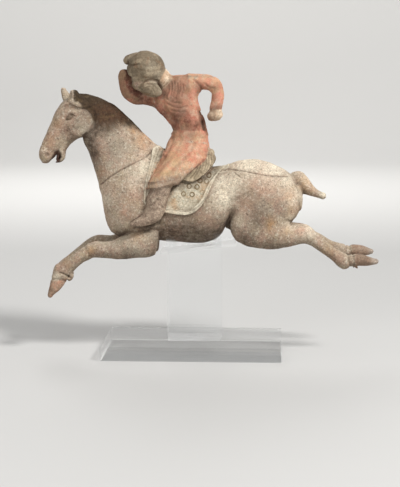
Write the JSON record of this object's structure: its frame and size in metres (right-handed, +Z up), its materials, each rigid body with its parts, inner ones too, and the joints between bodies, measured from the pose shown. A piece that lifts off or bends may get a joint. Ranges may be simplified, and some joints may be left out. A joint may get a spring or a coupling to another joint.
{
  "type": "terracotta polo player figure",
  "caption": "Rider on a galloping horse in painted terracotta, moulded as one, held up by a clear acrylic cradle, upright and slab.",
  "frame": {"origin": "centre of the acrylic slab's underside", "axes": "+Z up, +X towards the horse's tail, -Y towards the side that the rider's chest faces"},
  "size_m": [0.3781, 0.115, 0.3373],
  "materials": {
    "terracotta": "matt fired clay with worn white slip, red and brown pigment and burial dirt",
    "clear_acrylic": "polished and clear"
  },
  "bodies": {
    "root": {"horse_and_rider": "terracotta", "stand_base": "clear_acrylic", "stand_upright": "clear_acrylic", "stand_cradle": "clear_acrylic", "cradle_tab_near_front": "clear_acrylic", "cradle_tab_near_rear": "clear_acrylic", "cradle_tab_far_front": "clear_acrylic", "cradle_tab_far_rear": "clear_acrylic"}
  },
  "joints": []
}
